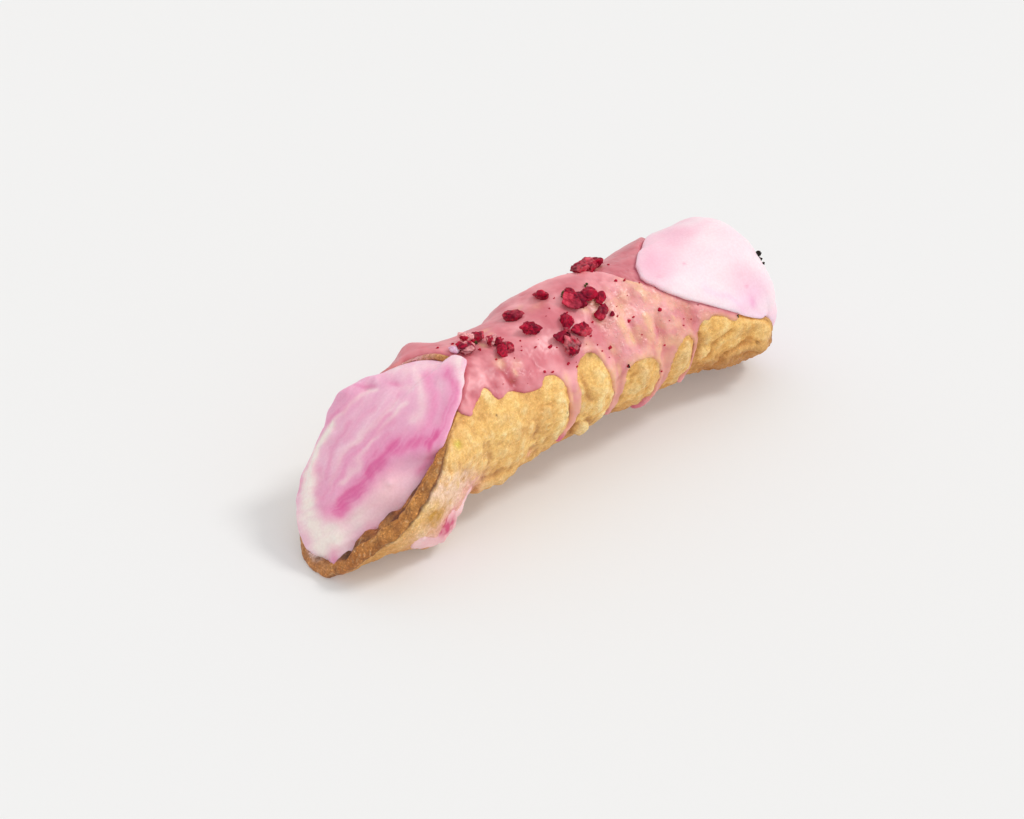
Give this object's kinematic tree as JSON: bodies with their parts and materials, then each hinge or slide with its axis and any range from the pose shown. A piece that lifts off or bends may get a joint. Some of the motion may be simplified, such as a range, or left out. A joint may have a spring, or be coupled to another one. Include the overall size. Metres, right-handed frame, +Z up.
{
  "type": "cannoli",
  "caption": "Fried pastry tube with slanted, lipped ends, filled from end to end with pink marbled cream and coated on top with pink glaze and fruit crumbs.",
  "frame": {"origin": "centre of the bounding box in plan, at the height of the surface it rests on", "axes": "+X along the tube, away from the long spoon-shaped lip; +Z up; -Y is the side shown to the front"},
  "size_m": [0.169, 0.0468, 0.0467],
  "materials": {
    "fried_pastry": "crisp fried dough, matt and bubbly, stands in as matte_plastic",
    "filling_cream": "smooth marbled cream, softly glossy, stands in as matte_plastic",
    "pink_glaze": "set pink glaze, satin, stands in as gloss_plastic",
    "fruit_crumbs": "dry crumbled fruit, matt and rough, stands in as matte_plastic"
  },
  "bodies": {
    "root": {"shell": "fried_pastry", "cream": "filling_cream"}
  },
  "joints": []
}
